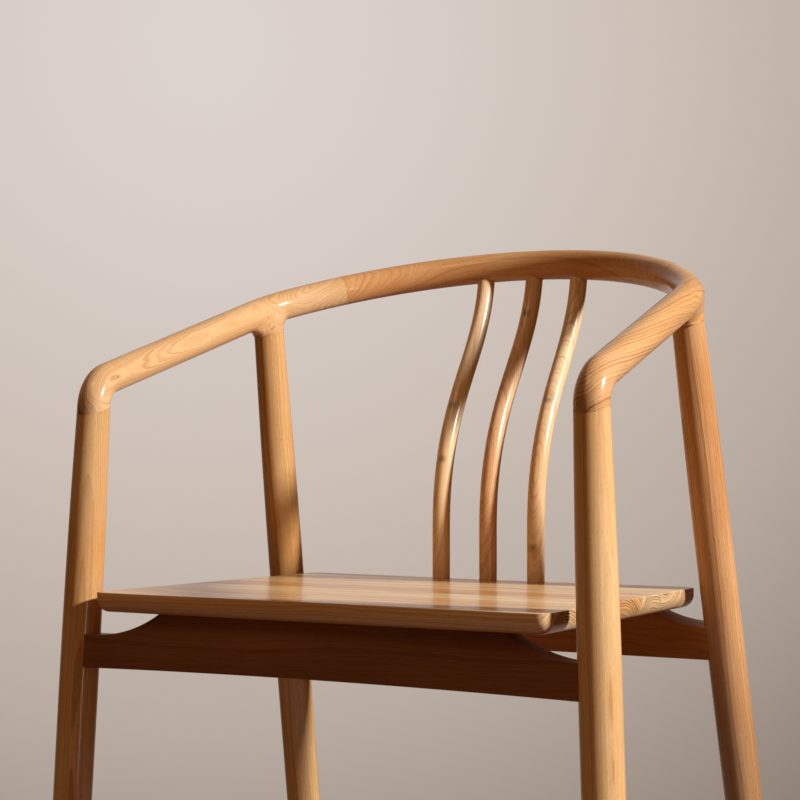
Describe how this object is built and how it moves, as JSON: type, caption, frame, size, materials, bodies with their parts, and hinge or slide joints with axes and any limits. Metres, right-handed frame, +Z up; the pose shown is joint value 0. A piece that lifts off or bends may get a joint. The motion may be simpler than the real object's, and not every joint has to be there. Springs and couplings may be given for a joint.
{
  "type": "horseshoe back armchair",
  "caption": "Wooden armchair whose round horseshoe rail forms back and arms, carried by splayed turned legs, with S-curved back spindles and a flat seat.",
  "frame": {"origin": "on the floor under the middle of the chair's outline", "axes": "+Z up, the chair faces -Y, +X to the right as seen from the front"},
  "size_m": [0.5928, 0.4316, 0.7643],
  "materials": {
    "bow_wood": "clear gloss lacquer over fine-grained hardwood",
    "leg_wood": "clear gloss lacquer over fine-grained hardwood",
    "spindle_wood": "clear gloss lacquer over fine-grained hardwood",
    "seat_wood": "clear gloss lacquer over fine-grained hardwood",
    "apron_wood": "clear gloss lacquer over fine-grained hardwood",
    "dowel_wood": "bare hardwood dowel",
    "screw_steel": "zinc plated"
  },
  "bodies": {
    "root": {"back_apron": "apron_wood", "back_left_leg": "leg_wood", "back_rail": "bow_wood", "back_right_leg": "leg_wood", "bow_dowels": "dowel_wood", "front_apron": "apron_wood", "front_left_leg": "leg_wood", "front_right_leg": "leg_wood", "left_arm": "bow_wood", "left_spindle": "spindle_wood", "middle_spindle": "spindle_wood", "right_arm": "bow_wood", "right_spindle": "spindle_wood", "seat_board_1": "seat_wood", "seat_board_2": "seat_wood", "seat_board_3": "seat_wood", "seat_board_4": "seat_wood", "seat_board_5": "seat_wood", "seat_board_6": "seat_wood", "seat_board_7": "seat_wood", "seat_screws": "screw_steel"}
  },
  "joints": []
}
